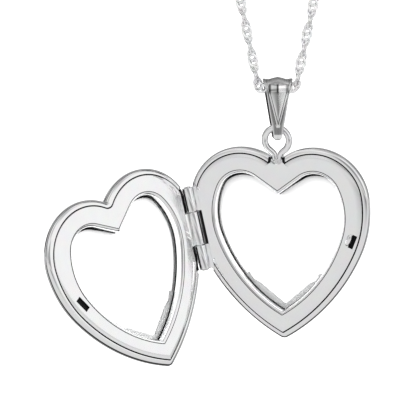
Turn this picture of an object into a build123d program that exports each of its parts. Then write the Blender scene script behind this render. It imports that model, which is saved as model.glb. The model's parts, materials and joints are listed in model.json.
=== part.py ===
from build123d import *
from math import acos, asin, atan2, cos, degrees, hypot, radians, sin, tan
import os

# A heart-shaped photo locket, hanging open from a fine rope chain. All sizes are in mm.
# Frame: +Z up, +X to the wearer's left, +Y away from the viewer. The origin is at the
# middle of the chain, where it carries the bail.
# Each half is drawn flat: its own x runs across the heart, y up its mirror line from the
# cleft, and z = 0 is the face where the halves meet. The back half lies below z = 0 and
# the cover above it; the cover's plane is then swung round the hinge pin.

# ---------------------------------------------------------------- driving dimensions
# Rim outline, one side: three tangent arcs. (centre of the first), radii, and the
# angles where the second and the third begin.
LOBE_RADIUS = 5.66
CLEFT_SLOPE = 42.3
RIM = dict(
    lobe=(LOBE_RADIUS * sin(radians(CLEFT_SLOPE)), -LOBE_RADIUS * cos(radians(CLEFT_SLOPE))),
    radii=(LOBE_RADIUS, 10.89, 19.63),
    bends=(5.55, -26.0),
)
TIP_RADIUS = 0.75
# Picture window, where the flat of the frame ends and its rolled edge begins.
FLANK_STEP = 1.2           # how far the cleft drops for each unit of inset
WINDOW = dict(lobe=(3.85, -3.66), radii=(2.82, 6.84, 14.58), bends=(25.5, -18.5), cleft=-2.91)

HALF_DEPTH = 2.80          # mating face to the crown of the dome
HEART_MIDDLE = -7.6        # height of the crown's highest point
CROWN_RADIUS = 45.0
SHELL_GAUGE = 0.35         # sheet thickness of the shells
RIM_WIDTH = 0.58           # flat rim of the shell that shows around the frame
RIM_DROP = 0.12            # rim sits this far below the frame's face
RIM_GAUGE = 0.30
FRAME_GAUGE = 0.28         # sheet thickness of the picture frames
FRAME_GAP = 0.02
LIP_WIDTH = 0.34           # rolled inner edge of the frame
LIP_DEPTH = 1.05
RETAINER_GAUGE = 0.25
CARD_GAUGE = 0.14
RETAINER_REACH = 0.60      # how far the retainer and the card run past the window
V_LEDGE = ((0, -14.72), (2.6, -12.6), (3.3, -12.25), (3.8, -11.45), (9, -16), (-9, -16),
           (-3.8, -11.45), (-3.3, -12.25), (-2.6, -12.6))
SEAT_HALF = 0.80           # scoop in the frame's edge, below the eyelet
SEAT_RADIUS = 1.6
SEAT_DROP = 0.25

# Hinge: pin centre line in the mating plane, on the left of the heart.
HINGE_CENTRE = (-8.82, -6.93)
HINGE_LEAN = 10.8
OPENING = 121.2
KNUCKLE_RADIUS = 0.55
KNUCKLE_BORE = 0.30
PIN_RADIUS = 0.27
END_KNUCKLE = 2.50
MIDDLE_KNUCKLE = 3.40
KNUCKLE_GAP = 0.05
HINGE_NOTCH = 0.98         # from the pin's centre to the edge of the notch in the frame
LEAF_REACH = 1.90
LEAF_GAUGE = 0.26
BARREL_NOTCH = 0.62
CUT = 6.0                  # size of cutting blocks
WALL_SETBACK = -0.08       # shell wall is flattened here, so that the halves clear
HINGE_HALF = MIDDLE_KNUCKLE / 2 + KNUCKLE_GAP + END_KNUCKLE

# Snap catch, on the side away from the hinge.
CATCH_CENTRE = (7.33, -7.78)
CATCH_TURN = -24.0
SLOT_SIZE = (0.62, 1.62)
CATCH_SIZE = (0.50, 1.20)
CATCH_HEIGHT = 0.26
SLIT_WIDTH = 0.40

# Eyelet soldered in the cleft.
EYE_WIRE = 0.335
EYE_RADIUS = 1.28
EYE_HEIGHT = 2.17
EYE_PLANE = -0.50
EYE_LEG = 0.30
EYE_OPENING = -52.0
KNEE_SWELL = 0.005         # the wire thickens a little where it is bent sharply
EYE_FOOT = -0.20
POCKET_HALF = 0.84
POCKET_HEIGHT = 2.0
POCKET_DEPTH = 0.85

# How the open locket hangs.
CLEFT_PLACE = (-0.10, -0.23, -7.37)
BACK_TURN = -19.75
BACK_PITCH = 4.5
BACK_ROLL = 0.9

# Bail.
BAIL_TURN = 5.0
BAIL_TOP_RADIUS = 0.85
BAIL_WALL = 0.30
BAIL_TOP = -0.15
BAIL_FLOOR = -4.46
BAIL_FLOOR_RADIUS = 0.45
BAIL_FLOOR_OFFSET = 0.25
BAIL_FOOT = -4.52
BAIL_FOOT_RADIUS = 0.62
BAIL_FOOT_OFFSET = 0.35
BAIL_FRONT = ((0, 1.2), (1.28, 1.2), (1.22, -0.15), (0.64, -3.9), (0.45, -4.9), (0.2, -5.2), (0, -5.2))
BAIL_PANEL = ((-0.92, 0.5), (-0.86, -0.1), (0, -3.2), (0.86, -0.1), (0.92, 0.5))
BAIL_SLANT = degrees(asin((BAIL_TOP_RADIUS + BAIL_WALL - BAIL_FOOT_RADIUS - BAIL_FOOT_OFFSET) / 4.37))
PANEL_DROP = 0.10

# Chain, clasp and end tag.
CHAIN_DIAMETER = 1.05
CHAIN_HEIGHT = 0.12
CHAIN_CORNER = 1.85
CHAIN_RUN = 14.6
CHAIN_SPREAD = 11.8
CHAIN_BEND = 0.62
RING_WIRE = 0.25
RING_RADIUS = 1.25
CLASP_RADIUS = 1.95
CLASP_TUBE = 0.50
CLASP_BORE = 0.32
BOLT_RADIUS = 0.28
BOLT_ARC = 88.0           # degrees of ring that the bolt fills
GAP_START = 20.0
GAP_END = 62.0
SLOT_START = 69.0          # slot that the bolt's knob travels in
SLOT_ARC = 62.0
KNOB_INSET = 6.5
KNOB_RADIUS = 0.18
KNOB_HEIGHT = 1.0
SPRING_ARC = 110.0
SPRING_WIRE = 0.08
CLASP_EYE = 0.62
CLASP_EYE_WIRE = 0.20
TAG_GAUGE = 0.40
TAG_SPAN = 2.6
TAG_WIDTH = 3.0
TAG_RING_HOLE = 0.55
TAG_EYE = 0.95

os.makedirs("parts", exist_ok=True)

# ---------------------------------------------------------------- reference planes
def turned(about_x, about_y, about_z):
    """A turn in place, about the frame's own axes."""
    return Location((0, 0, 0), (about_x, about_y, about_z))


back_place = (
    Location(CLEFT_PLACE, (90, 0, 0))
    * turned(0, BACK_TURN, 0)
    * turned(BACK_PITCH, 0, 0)
    * turned(0, 0, BACK_ROLL)
)
hinge_place = Location((*HINGE_CENTRE, 0), (0, 0, HINGE_LEAN))
cover_place = back_place * hinge_place * turned(0, -OPENING, 0) * hinge_place.inverse()
back = Plane(back_place)
cover = Plane(cover_place)
back_pin = Plane(back_place * hinge_place)
cover_pin = Plane(cover_place * hinge_place)


def heart(lobe, radii, bends, cleft=None, inset=0.0, tip=0.0):
    """Heart face drawn inset from its outline; a straight flank leads to a low cleft."""
    first, second, third = (radius - inset for radius in radii)
    centre = Vector(*lobe)
    middle = centre + Vector(radii[0] - radii[1], 0).rotate(Axis.Z, bends[0])
    side = middle + Vector(radii[1] - radii[2], 0).rotate(Axis.Z, bends[1])
    end = -degrees(acos(-side.X / third))
    if cleft is None:
        start = degrees(acos(-centre.X / first))
    else:
        cleft = cleft - inset * FLANK_STEP
        reach = hypot(centre.X, cleft - centre.Y)
        start = degrees(atan2(cleft - centre.Y, -centre.X) - acos(first / reach))
    with BuildSketch() as face:
        with BuildLine():
            if cleft is not None:
                Line((0, cleft), centre + Vector(first, 0).rotate(Axis.Z, start))
            CenterArc(centre, first, start, bends[0] - start)
            CenterArc(middle, second, bends[0], bends[1] - bends[0])
            CenterArc(side, third, bends[1], end - bends[1])
            mirror(about=Plane.YZ)
        make_face()
        if tip > 0:
            fillet(face.vertices().sort_by(Axis.Y)[0], radius=tip)
    return face.sketch


def rim_outline(inset=0.0):
    """Outline of the locket's rim, with its rounded tip, drawn inset."""
    return heart(**RIM, inset=inset, tip=TIP_RADIUS - inset if inset < TIP_RADIUS else 0)


def crowned(place, side, inset, top, crown, radius, setback):
    """Solid under the rim outline, flat beside the hinge, its far face part of a sphere."""
    half = Plane(place)
    with BuildPart() as form:
        with BuildSketch(half.offset(side * top)):
            add(rim_outline(inset))
        extrude(amount=side * (crown - top))
        with Locations(place * Pos(0, HEART_MIDDLE, side * (crown - radius))):
            Sphere(radius, mode=Mode.INTERSECT)
        with Locations(place * hinge_place * Pos(setback - CUT / 2, 0, 0)):
            Box(CUT, 2 * HINGE_HALF + CUT, 2 * CUT, mode=Mode.SUBTRACT)
    return form.part


def make_shell(place, side):
    """Stamped half shell: flat rim, upright wall and crowned back, open at the front."""
    half = Plane(place)
    cavity = crowned(
        place, side, SHELL_GAUGE, RIM_DROP + RIM_GAUGE, HALF_DEPTH - SHELL_GAUGE,
        CROWN_RADIUS - SHELL_GAUGE, WALL_SETBACK + SHELL_GAUGE,
    )
    outer = crowned(place, side, 0, RIM_DROP, HALF_DEPTH, CROWN_RADIUS, WALL_SETBACK)
    with BuildPart() as shell:
        add(outer)
        add(cavity, mode=Mode.SUBTRACT)
        with BuildSketch(half):
            add(rim_outline(RIM_WIDTH))
        extrude(amount=side * HALF_DEPTH / 2, mode=Mode.SUBTRACT)
        with Locations(place * hinge_place * Pos(HINGE_NOTCH + FRAME_GAP - CUT / 2, 0, 0)):
            Box(CUT, 2 * HINGE_HALF + 0.3, 2 * BARREL_NOTCH, mode=Mode.SUBTRACT)
    return shell.part


def make_frame(place, side):
    """Picture frame: a flat heart with a rolled inner lip, notched for the hinge."""
    half = Plane(place).offset(side * FRAME_GAP)
    with BuildPart() as frame:
        with BuildSketch(half):
            add(rim_outline(RIM_WIDTH + FRAME_GAP))
            add(heart(**WINDOW, inset=LIP_WIDTH), mode=Mode.SUBTRACT)
        extrude(amount=side * FRAME_GAUGE)
        with BuildSketch(half):
            add(heart(**WINDOW))
            add(heart(**WINDOW, inset=LIP_WIDTH), mode=Mode.SUBTRACT)
        extrude(amount=side * (LIP_DEPTH - FRAME_GAP))
        with Locations(place * hinge_place * Pos(HINGE_NOTCH - CUT / 2, 0, 0)):
            Box(CUT, 2 * HINGE_HALF + 0.3, CUT, mode=Mode.SUBTRACT)
    return frame.part


def make_retainer(place, side):
    """Clear plastic ring that holds the picture, with a straight V across its foot."""
    with BuildPart() as ring:
        with BuildSketch(Plane(place).offset(side * (LIP_DEPTH + FRAME_GAP))):
            add(heart(**WINDOW, inset=-RETAINER_REACH))
            with BuildSketch(mode=Mode.SUBTRACT):
                add(heart(**WINDOW, inset=LIP_WIDTH + 0.08))
                with BuildLine():
                    Polyline(*V_LEDGE, close=True)
                make_face(mode=Mode.SUBTRACT)
        extrude(amount=side * RETAINER_GAUGE)
    return ring.part


def make_card(place, side):
    """Blank picture card behind the window."""
    depth = LIP_DEPTH + RETAINER_GAUGE + 2 * FRAME_GAP
    with BuildPart() as card:
        with BuildSketch(Plane(place).offset(side * depth)):
            add(heart(**WINDOW, inset=-RETAINER_REACH + 0.1))
        extrude(amount=side * CARD_GAUGE)
    return card.part


def make_hinge_leaf(place, side, knuckles):
    """Hinge leaf under the frame, with the knuckles rolled at its edge.

    knuckles lists the centre and the length of each, along the pin.
    """
    pin = place * hinge_place
    leaf_top = 2 * FRAME_GAP
    leaf_foot = FRAME_GAUGE + 2 * FRAME_GAP + LEAF_GAUGE
    with BuildPart() as leaf:
        strip = LEAF_REACH - HINGE_NOTCH
        with Locations(pin * Pos(HINGE_NOTCH + strip / 2, 0, side * (leaf_foot - LEAF_GAUGE / 2))):
            Box(strip, 2 * HINGE_HALF - 0.1, LEAF_GAUGE - FRAME_GAP)
        for centre, length in knuckles:
            web = HINGE_NOTCH - KNUCKLE_BORE
            web_place = Pos(HINGE_NOTCH - web / 2, centre, side * (leaf_top + leaf_foot) / 2)
            with Locations(pin * web_place):
                Box(web, length, leaf_foot - leaf_top)
            with Locations(pin * Pos(0, centre, 0) * turned(90, 0, 0)):
                Cylinder(KNUCKLE_RADIUS, length)
        for centre, length in knuckles:
            with Locations(pin * Pos(0, centre, 0) * turned(90, 0, 0)):
                Cylinder(KNUCKLE_BORE, length + 0.2, mode=Mode.SUBTRACT)
    return leaf.part


# ---------------------------------------------------------------- the two halves
with BuildPart() as back_shell:
    add(make_shell(back_place, -1))
    with Locations(back_place * Pos(0, -0.1, -POCKET_DEPTH / 2)):
        Box(2 * POCKET_HALF, POCKET_HEIGHT, POCKET_DEPTH, mode=Mode.SUBTRACT)
back_shell.part.label = "back_shell"
export_step(back_shell.part, "parts/back_shell.step")

with BuildPart() as cover_shell:
    add(make_shell(cover_place, 1))
cover_shell.part.label = "cover_shell"
export_step(cover_shell.part, "parts/cover_shell.step")

# The back frame carries the catch: a dome pushed up beside a short pierced slot.
# Below the eyelet the frame's edge fills the cleft and is scooped to seat the wire.
catch_place = Pos(*CATCH_CENTRE, 0) * turned(0, 0, CATCH_TURN)
with BuildPart() as back_frame:
    add(make_frame(back_place, -1))
    with BuildSketch(back.offset(-FRAME_GAP)):
        with BuildLine():
            Polyline((-SEAT_HALF, -0.1), (0, -1.2), (SEAT_HALF, -0.1), close=True)
        make_face()
        with Locations((0, SEAT_RADIUS - SEAT_DROP)):
            Circle(SEAT_RADIUS, mode=Mode.SUBTRACT)
    extrude(amount=-FRAME_GAUGE)
    with BuildSketch(back.offset(-FRAME_GAUGE / 2)):
        with Locations(catch_place):
            Ellipse(CATCH_SIZE[0] / 2, CATCH_SIZE[1] / 2)
    extrude(amount=CATCH_HEIGHT + FRAME_GAUGE / 2, taper=25)
    with Locations(back_place * catch_place * Pos((CATCH_SIZE[0] + SLIT_WIDTH) / 2 - 0.05, 0, 0)):
        Box(SLIT_WIDTH, CATCH_SIZE[1], 4 * FRAME_GAUGE, mode=Mode.SUBTRACT)
back_frame.part.label = "back_frame"
export_step(back_frame.part, "parts/back_frame.step")

# The cover frame has the slot that the catch snaps into.
with BuildPart() as cover_frame:
    add(make_frame(cover_place, 1))
    with Locations(cover_place * catch_place):
        Box(*SLOT_SIZE, 4 * FRAME_GAUGE, mode=Mode.SUBTRACT)
cover_frame.part.label = "cover_frame"
export_step(cover_frame.part, "parts/cover_frame.step")

with BuildPart() as back_retainer:
    add(make_retainer(back_place, -1))
back_retainer.part.label = "back_retainer"
export_step(back_retainer.part, "parts/back_retainer.step")

with BuildPart() as cover_retainer:
    add(make_retainer(cover_place, 1))
cover_retainer.part.label = "cover_retainer"
export_step(cover_retainer.part, "parts/cover_retainer.step")

with BuildPart() as back_picture_card:
    add(make_card(back_place, -1))
back_picture_card.part.label = "back_picture_card"
export_step(back_picture_card.part, "parts/back_picture_card.step")

with BuildPart() as cover_picture_card:
    add(make_card(cover_place, 1))
cover_picture_card.part.label = "cover_picture_card"
export_step(cover_picture_card.part, "parts/cover_picture_card.step")

# ---------------------------------------------------------------- hinge
END_CENTRE = MIDDLE_KNUCKLE / 2 + KNUCKLE_GAP + END_KNUCKLE / 2
with BuildPart() as back_hinge_leaf:
    add(make_hinge_leaf(back_place, -1, ((END_CENTRE, END_KNUCKLE), (-END_CENTRE, END_KNUCKLE))))
back_hinge_leaf.part.label = "back_hinge_leaf"
export_step(back_hinge_leaf.part, "parts/back_hinge_leaf.step")

with BuildPart() as cover_hinge_leaf:
    add(make_hinge_leaf(cover_place, 1, ((0, MIDDLE_KNUCKLE),)))
cover_hinge_leaf.part.label = "cover_hinge_leaf"
export_step(cover_hinge_leaf.part, "parts/cover_hinge_leaf.step")

# The pin is peened over into a small head at each end.
with BuildPart() as hinge_pin:
    with Locations(back_place * hinge_place * turned(90, 0, 0)):
        Cylinder(PIN_RADIUS, 2 * HINGE_HALF + 0.1)
        with Locations((0, 0, HINGE_HALF + 0.07), (0, 0, -HINGE_HALF - 0.07)):
            Cylinder(PIN_RADIUS + 0.12, 0.1)
hinge_pin.part.label = "hinge_pin"
export_step(hinge_pin.part, "parts/hinge_pin.step")

# ---------------------------------------------------------------- eyelet
# Round wire bent to a ring. Its two ends leave the ring straight, close in to a knee each,
# and go down into the cleft side by side.
eye_place = back_place * Pos(0, 0, EYE_PLANE)
shoulder = Vector(EYE_RADIUS, 0).rotate(Axis.Z, EYE_OPENING) + Vector(0, EYE_HEIGHT)
knee = Vector(EYE_LEG, shoulder.Y + (shoulder.X - EYE_LEG) / tan(radians(EYE_OPENING)))
with BuildPart() as eyelet:
    with Locations(eye_place * Pos(0, EYE_HEIGHT, 0) * turned(0, 0, EYE_OPENING)):
        Torus(EYE_RADIUS, EYE_WIRE, major_angle=180 - 2 * EYE_OPENING)
    for way in (-1, 1):
        slope = (knee + shoulder) / 2
        with Locations(eye_place * Pos(way * slope.X, slope.Y, 0) * turned(0, 0, way * EYE_OPENING)):
            Cylinder(EYE_WIRE, (shoulder - knee).length, rotation=(90, 0, 0))
        with Locations(eye_place * Pos(way * EYE_LEG, (knee.Y + EYE_FOOT) / 2, 0)):
            Cylinder(EYE_WIRE, knee.Y - EYE_FOOT, rotation=(90, 0, 0))
        with Locations(eye_place * Pos(way * EYE_LEG, knee.Y, 0)):
            Sphere(EYE_WIRE + KNEE_SWELL)
eyelet.part.label = "eyelet"
export_step(eyelet.part, "parts/eyelet.step")

# ---------------------------------------------------------------- bail
# One cast strip, folded over the chain and closed under the eyelet. Its side view is a
# long loop, and its front view tapers to the foot. The front leaf has a sunk V panel.
across = Vector(1, 0, 0).rotate(Axis.Z, BAIL_TURN)
inward = Vector(0, 1, 0).rotate(Axis.Z, BAIL_TURN)
side_view = Plane((0, 0, 0), x_dir=inward, z_dir=across)
front_view = Plane((0, 0, 0), x_dir=across, z_dir=-inward)
panel_depth = BAIL_TOP_RADIUS + BAIL_WALL - PANEL_DROP
panel = Plane(front_view.location * Pos(0, BAIL_TOP, panel_depth) * turned(BAIL_SLANT, 0, 0))
with BuildPart() as bail:
    with BuildSketch(side_view):
        with BuildSketch():
            with Locations((0, BAIL_TOP)):
                Circle(BAIL_TOP_RADIUS + BAIL_WALL)
            with Locations((-BAIL_FOOT_OFFSET, BAIL_FOOT), (BAIL_FOOT_OFFSET, BAIL_FOOT)):
                Circle(BAIL_FOOT_RADIUS)
            make_hull()
        with BuildSketch(mode=Mode.SUBTRACT):
            with Locations((0, BAIL_TOP)):
                Circle(BAIL_TOP_RADIUS)
            floor = BAIL_FLOOR + BAIL_FLOOR_RADIUS
            with Locations((-BAIL_FLOOR_OFFSET, floor), (BAIL_FLOOR_OFFSET, floor)):
                Circle(BAIL_FLOOR_RADIUS)
            make_hull()
    extrude(amount=2, both=True)
    with BuildSketch(front_view):
        with BuildLine():
            Polyline(*BAIL_FRONT)
            mirror(about=Plane.YZ)
        make_face()
    extrude(amount=2, both=True, mode=Mode.INTERSECT)
    with BuildSketch(panel):
        with BuildLine():
            Polyline(*BAIL_PANEL, close=True)
        make_face()
    extrude(amount=1, mode=Mode.SUBTRACT)
bail.part.label = "bail"
export_step(bail.part, "parts/bail.step")

# ---------------------------------------------------------------- chain
# A fine rope chain, drawn as the round tube that it fills. It is pulled tight by its two
# ends and turns through the bail.
run_rise = CHAIN_RUN * cos(radians(CHAIN_SPREAD))
run_out = CHAIN_RUN * sin(radians(CHAIN_SPREAD))
chain_route = (
    (-CHAIN_CORNER - run_out, 0, CHAIN_HEIGHT + run_rise),
    (-CHAIN_CORNER, 0, CHAIN_HEIGHT),
    (CHAIN_CORNER, 0, CHAIN_HEIGHT),
    (CHAIN_CORNER + run_out, 0, CHAIN_HEIGHT + run_rise),
)
with BuildPart() as chain:
    with BuildLine() as chain_path:
        FilletPolyline(*chain_route, radius=CHAIN_BEND)
    with BuildSketch(Plane(chain_path.wire() @ 0, z_dir=chain_path.wire() % 0)):
        Circle(CHAIN_DIAMETER / 2)
    sweep(path=chain_path.wire())
chain.part.label = "chain"
export_step(chain.part, "parts/chain.step")

# ---------------------------------------------------------------- chain ends
# A soldered jump ring at each end. One carries a spring-ring clasp, the other a flat tag
# with an eye for the clasp. Each end is drawn up its own run, z along the run.
left_end = Location(chain_route[0], (0, -CHAIN_SPREAD, 0))
right_end = Location(chain_route[3], (0, CHAIN_SPREAD, 0))
ring_centre = RING_WIRE + RING_RADIUS + FRAME_GAP
ring_top = ring_centre + RING_RADIUS
with BuildPart() as clasp_ring:
    with Locations(left_end * Pos(0, 0, ring_centre) * turned(0, 90, 0)):
        Torus(RING_RADIUS, RING_WIRE)
clasp_ring.part.label = "clasp_ring"
export_step(clasp_ring.part, "parts/clasp_ring.step")

with BuildPart() as tag_ring:
    with Locations(right_end * Pos(0, 0, ring_centre) * turned(0, 90, 0)):
        Torus(RING_RADIUS, RING_WIRE)
tag_ring.part.label = "tag_ring"
export_step(tag_ring.part, "parts/tag_ring.step")

# Flat tag: a long oval of sheet with a small hole for its ring and a large one for the clasp.
tag_foot = ring_top + TAG_RING_HOLE - RING_WIRE - FRAME_GAP
tag_plane = Plane(right_end * Pos(0, TAG_GAUGE / 2, tag_foot) * turned(90, 0, 0))
with BuildPart() as chain_tag:
    with BuildSketch(tag_plane):
        with Locations((0, TAG_SPAN / 2)):
            SlotCenterToCenter(TAG_SPAN, TAG_WIDTH, rotation=90)
        Circle(TAG_RING_HOLE, mode=Mode.SUBTRACT)
        with Locations((0, TAG_SPAN)):
            Circle(TAG_EYE, mode=Mode.SUBTRACT)
    extrude(amount=TAG_GAUGE)
chain_tag.part.label = "chain_tag"
export_step(chain_tag.part, "parts/chain_tag.step")

# Spring-ring clasp. Angles run round the ring from the side, up over the top.
eye_height = ring_top + CLASP_EYE - CLASP_EYE_WIRE - RING_WIRE - FRAME_GAP
clasp_height = eye_height + CLASP_EYE + CLASP_RADIUS + CLASP_TUBE - CLASP_EYE_WIRE / 2 + 0.05
clasp_place = left_end * Pos(0, 0, clasp_height) * turned(90, 0, 0)
clasp_plane = Plane(clasp_place)
clasp_axis = Axis(clasp_plane.origin, clasp_plane.z_dir)


def ring_section(angle):
    """Plane across the clasp's ring at an angle: x points outwards from its centre."""
    return Plane(clasp_place * turned(0, 0, angle) * Pos(CLASP_RADIUS, 0, 0) * turned(90, 0, 0))


with BuildPart() as clasp_body:
    with BuildSketch(ring_section(GAP_END)):
        Circle(CLASP_TUBE)
        Circle(CLASP_BORE, mode=Mode.SUBTRACT)
    revolve(axis=clasp_axis, revolution_arc=360 - GAP_END + GAP_START)
    with BuildSketch(ring_section(SLOT_START)):
        with Locations((CLASP_TUBE, 0)):
            Rectangle(2 * CLASP_TUBE, 2 * KNOB_RADIUS + 0.1)
    revolve(axis=clasp_axis, revolution_arc=SLOT_ARC, mode=Mode.SUBTRACT)
    with Locations(left_end * Pos(0, 0, eye_height) * turned(90, 0, 0)):
        Torus(CLASP_EYE, CLASP_EYE_WIRE)
clasp_body.part.label = "clasp_body"
export_step(clasp_body.part, "parts/clasp_body.step")

with BuildPart() as clasp_bolt:
    with BuildSketch(ring_section(GAP_START - 8)):
        Circle(BOLT_RADIUS)
    revolve(axis=clasp_axis, revolution_arc=BOLT_ARC)
    knob_place = clasp_place * turned(0, 0, SLOT_START + KNOB_INSET) * turned(0, 90, 0)
    with Locations(knob_place * Pos(0, 0, CLASP_RADIUS + KNOB_HEIGHT / 2)):
        Cylinder(KNOB_RADIUS, KNOB_HEIGHT)
clasp_bolt.part.label = "clasp_bolt"
export_step(clasp_bolt.part, "parts/clasp_bolt.step")

# Coil spring behind the bolt, drawn as the curved tube that its coils fill.
spring_start = GAP_START - 8 + BOLT_ARC + 1
with BuildPart() as clasp_spring:
    with BuildSketch(ring_section(spring_start)):
        Circle(BOLT_RADIUS)
        Circle(BOLT_RADIUS - SPRING_WIRE, mode=Mode.SUBTRACT)
    revolve(axis=clasp_axis, revolution_arc=SPRING_ARC)
clasp_spring.part.label = "clasp_spring"
export_step(clasp_spring.part, "parts/clasp_spring.step")

print("chain length", round(chain_path.wire().length, 2), "bend radii", (CHAIN_BEND, CHAIN_BEND))
print("hinge", back_pin.origin, back_pin.y_dir)
print("eye", Vector((back_place * Pos(0, EYE_HEIGHT + EYE_RADIUS, EYE_PLANE)).position))
print("clasp", clasp_plane.origin, "tag", (right_end * Pos(0, 0, tag_foot + TAG_SPAN)).position)
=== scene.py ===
import json
from math import acos, atan2, cos, degrees, hypot, pi, radians, sin, sqrt

import bmesh
import bpy
from mathutils import Matrix, Vector, noise


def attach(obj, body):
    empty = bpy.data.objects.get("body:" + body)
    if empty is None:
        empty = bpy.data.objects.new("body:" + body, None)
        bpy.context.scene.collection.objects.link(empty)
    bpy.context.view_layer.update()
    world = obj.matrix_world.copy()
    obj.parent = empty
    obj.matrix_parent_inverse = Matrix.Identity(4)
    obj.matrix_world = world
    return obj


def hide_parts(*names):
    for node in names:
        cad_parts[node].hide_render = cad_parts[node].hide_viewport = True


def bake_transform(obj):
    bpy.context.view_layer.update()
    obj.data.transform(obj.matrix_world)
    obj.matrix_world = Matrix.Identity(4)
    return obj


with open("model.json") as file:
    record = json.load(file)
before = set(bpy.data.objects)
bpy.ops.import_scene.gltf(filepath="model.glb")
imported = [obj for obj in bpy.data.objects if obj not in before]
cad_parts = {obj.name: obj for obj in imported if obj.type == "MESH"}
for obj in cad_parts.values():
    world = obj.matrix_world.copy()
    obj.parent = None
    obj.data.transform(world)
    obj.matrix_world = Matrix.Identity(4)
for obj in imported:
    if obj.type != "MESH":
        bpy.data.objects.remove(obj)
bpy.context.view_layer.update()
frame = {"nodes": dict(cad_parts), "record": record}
MM = 0.001

# ---------------------------------------------------------------- rope chain
# Fine silver wire bent to oval links and soldered shut. Each link is turned a tenth of a turn
# on from the last and passes through its neighbours, so that together they lie as a rope.


def turned(axis, angle):
    """A turn round an axis, by an angle in degrees."""
    return Matrix.Rotation(radians(angle), 4, axis)


def shifted(x, y, z):
    """A shift, given in mm."""
    return Matrix.Translation(Vector((x, y, z)) * MM)


def handling_marks():
    """Shader group: faint clouds of handling on a polish, as a roughness and a tone."""
    group = bpy.data.node_groups.new("handling marks", "ShaderNodeTree")
    for label, kind, value in (
        ("Scale", "NodeSocketFloat", 900.0),
        ("Roughness", "NodeSocketFloat", 0.06),
        ("Spread", "NodeSocketFloat", 0.05),
        ("Colour", "NodeSocketColor", (0.95, 0.95, 0.955, 1)),
    ):
        group.interface.new_socket(label, in_out="INPUT", socket_type=kind).default_value = value
    group.interface.new_socket("Roughness", in_out="OUTPUT", socket_type="NodeSocketFloat")
    group.interface.new_socket("Colour", in_out="OUTPUT", socket_type="NodeSocketColor")
    group.interface.new_socket("Height", in_out="OUTPUT", socket_type="NodeSocketFloat")
    nodes, links = group.nodes, group.links
    given, result = nodes.new("NodeGroupInput"), nodes.new("NodeGroupOutput")
    place = nodes.new("ShaderNodeTexCoord")
    cloud = nodes.new("ShaderNodeTexNoise")
    cloud.inputs["Detail"].default_value = 3.0
    links.new(place.outputs["Object"], cloud.inputs["Vector"])
    links.new(given.outputs["Scale"], cloud.inputs["Scale"])
    gloss = nodes.new("ShaderNodeMath")
    gloss.operation = "MULTIPLY_ADD"
    links.new(cloud.outputs["Fac"], gloss.inputs[0])
    links.new(given.outputs["Spread"], gloss.inputs[1])
    links.new(given.outputs["Roughness"], gloss.inputs[2])
    links.new(gloss.outputs[0], result.inputs["Roughness"])
    tone = nodes.new("ShaderNodeMix")
    tone.data_type = "RGBA"
    tone.blend_type = "MULTIPLY"
    tone.inputs["Factor"].default_value = 0.10
    links.new(given.outputs["Colour"], tone.inputs["A"])
    links.new(cloud.outputs["Color"], tone.inputs["B"])
    links.new(tone.outputs["Result"], result.inputs["Colour"])
    links.new(cloud.outputs["Fac"], result.inputs["Height"])
    return group


marks = handling_marks()


def new_material(name, values):
    """A material whose surface has the given values, with its nodes, links and surface."""
    material = bpy.data.materials.new(name)
    material.use_nodes = True
    nodes, links = material.node_tree.nodes, material.node_tree.links
    surface = nodes["Principled BSDF"]
    for label, value in values.items():
        surface.inputs[label].default_value = value
    return material, nodes, links, surface


def grain(nodes, links, scale, detail=2.0):
    """Noise through the object, as a value between 0 and 1."""
    place = nodes.new("ShaderNodeTexCoord")
    cloud = nodes.new("ShaderNodeTexNoise")
    cloud.inputs["Scale"].default_value = scale
    cloud.inputs["Detail"].default_value = detail
    links.new(place.outputs["Object"], cloud.inputs["Vector"])
    return cloud.outputs["Fac"]


def bumped(nodes, links, surface, height, distance):
    """Raises a surface by a distance where the height is 1."""
    bump = nodes.new("ShaderNodeBump")
    bump.inputs["Strength"].default_value = 1.0
    bump.inputs["Distance"].default_value = distance
    links.new(height, bump.inputs["Height"])
    links.new(bump.outputs["Normal"], surface.inputs["Normal"])


def silver(name, colour=(0.95, 0.95, 0.955), roughness=0.04, spread=0.05, wave=0.0, wave_scale=250.0):
    """Polished silver, with faint handling marks and, on sheet, a slight waviness."""
    material, nodes, links, metal = new_material(name, {"Metallic": 1.0})
    worn = nodes.new("ShaderNodeGroup")
    worn.node_tree = marks
    worn.inputs["Colour"].default_value = (*colour, 1)
    worn.inputs["Roughness"].default_value = roughness
    worn.inputs["Spread"].default_value = spread
    links.new(worn.outputs["Colour"], metal.inputs["Base Color"])
    links.new(worn.outputs["Roughness"], metal.inputs["Roughness"])
    if wave > 0:
        bumped(nodes, links, metal, grain(nodes, links, wave_scale, detail=1.0), wave)
    return material


def as_mesh(bm, name):
    """Ends a bmesh and keeps what it drew as a mesh."""
    mesh = bpy.data.meshes.new(name)
    bm.to_mesh(mesh)
    bm.free()
    return mesh


def placed(name, data):
    """Puts a new object in the scene."""
    made = bpy.data.objects.new(name, data)
    bpy.context.collection.objects.link(made)
    return made


def settle(name, bm, material, body, slot, *nodes, smooth=35.0):
    """Closes a mesh, turns its faces outwards and makes it a piece that stands for CAD nodes."""
    bmesh.ops.remove_doubles(bm, verts=bm.verts, dist=1e-7)
    bmesh.ops.dissolve_degenerate(bm, edges=bm.edges, dist=1e-8)
    bmesh.ops.recalc_face_normals(bm, faces=bm.faces)
    mesh = as_mesh(bm, name)
    mesh.shade_smooth()
    mesh.set_sharp_from_angle(angle=radians(smooth))
    mesh.materials.append(material)
    made = placed(name, mesh)
    if body:
        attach(made, body)
    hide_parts(*nodes)
    return made


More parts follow.
